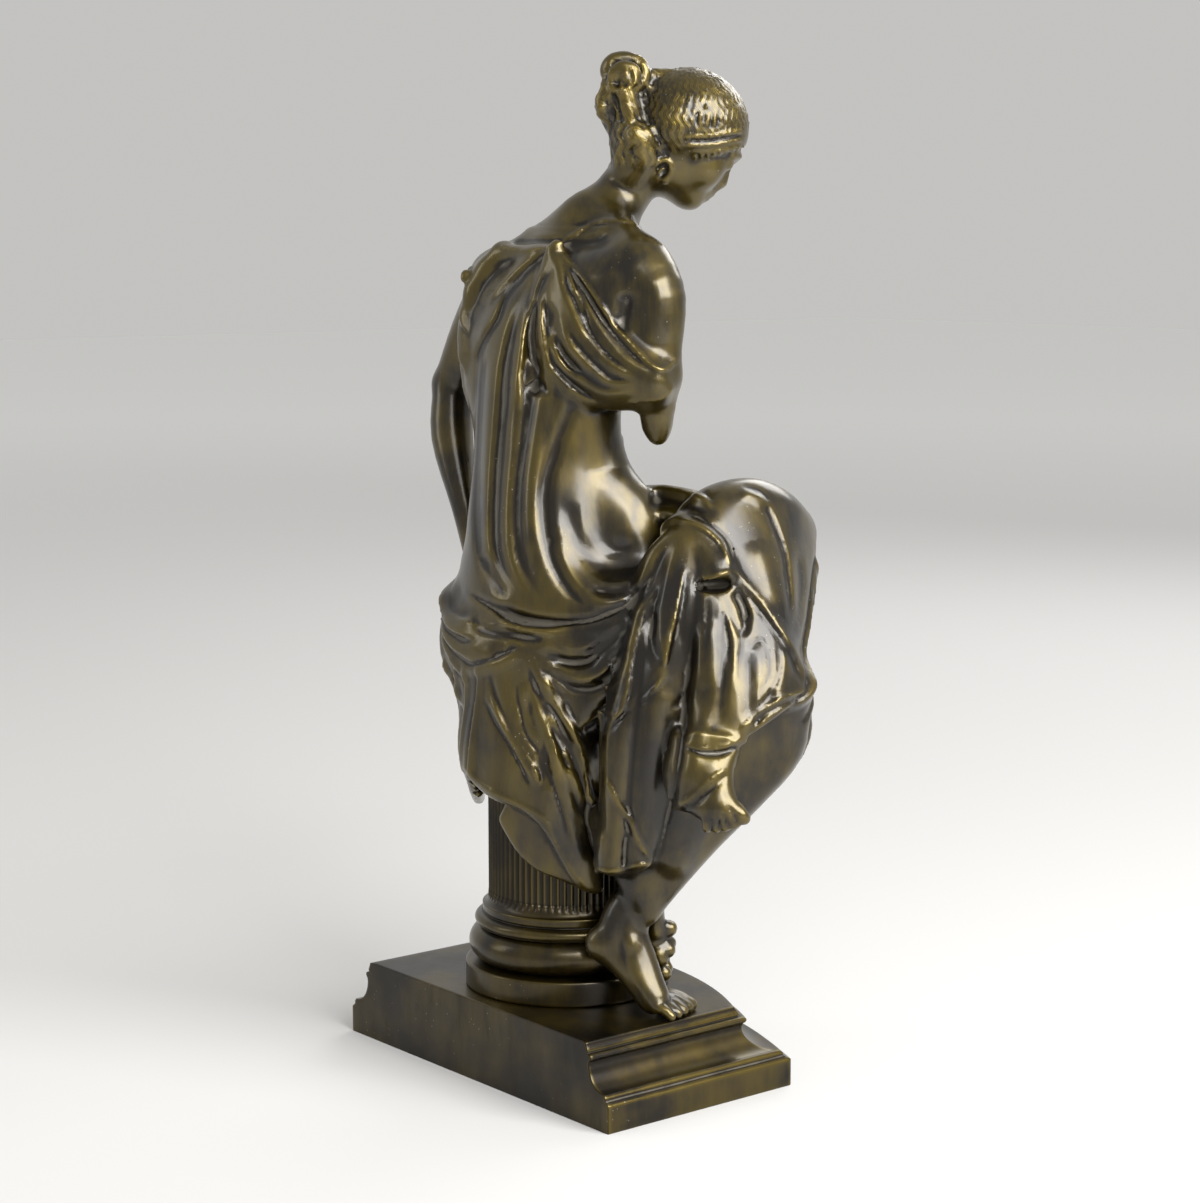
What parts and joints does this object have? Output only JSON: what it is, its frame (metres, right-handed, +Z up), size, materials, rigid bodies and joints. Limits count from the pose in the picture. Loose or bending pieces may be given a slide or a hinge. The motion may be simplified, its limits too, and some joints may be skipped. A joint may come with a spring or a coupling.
{
  "type": "seated woman statue",
  "caption": "Cast figure of a seated draped woman with crossed legs on a fluted column stump, with a moulded bow-fronted plinth.",
  "frame": {"origin": "centre of the plinth's underside", "axes": "+Z up; -Y towards the bowed, moulded front of the plinth, +Y towards its flat back, X along its length"},
  "size_m": [0.344, 0.2256, 0.6891],
  "materials": {
    "figure": "brown bronze patina with olive and golden rubbed edges, waxed to a soft gloss",
    "column": "darker brown bronze patina, waxed, dirt in the flutes",
    "plinth": "dark brown bronze patina, golden rubbed mouldings, fine casting specks"
  },
  "bodies": {
    "root": {"figure": "figure", "column": "column", "plinth": "plinth"}
  },
  "joints": []
}
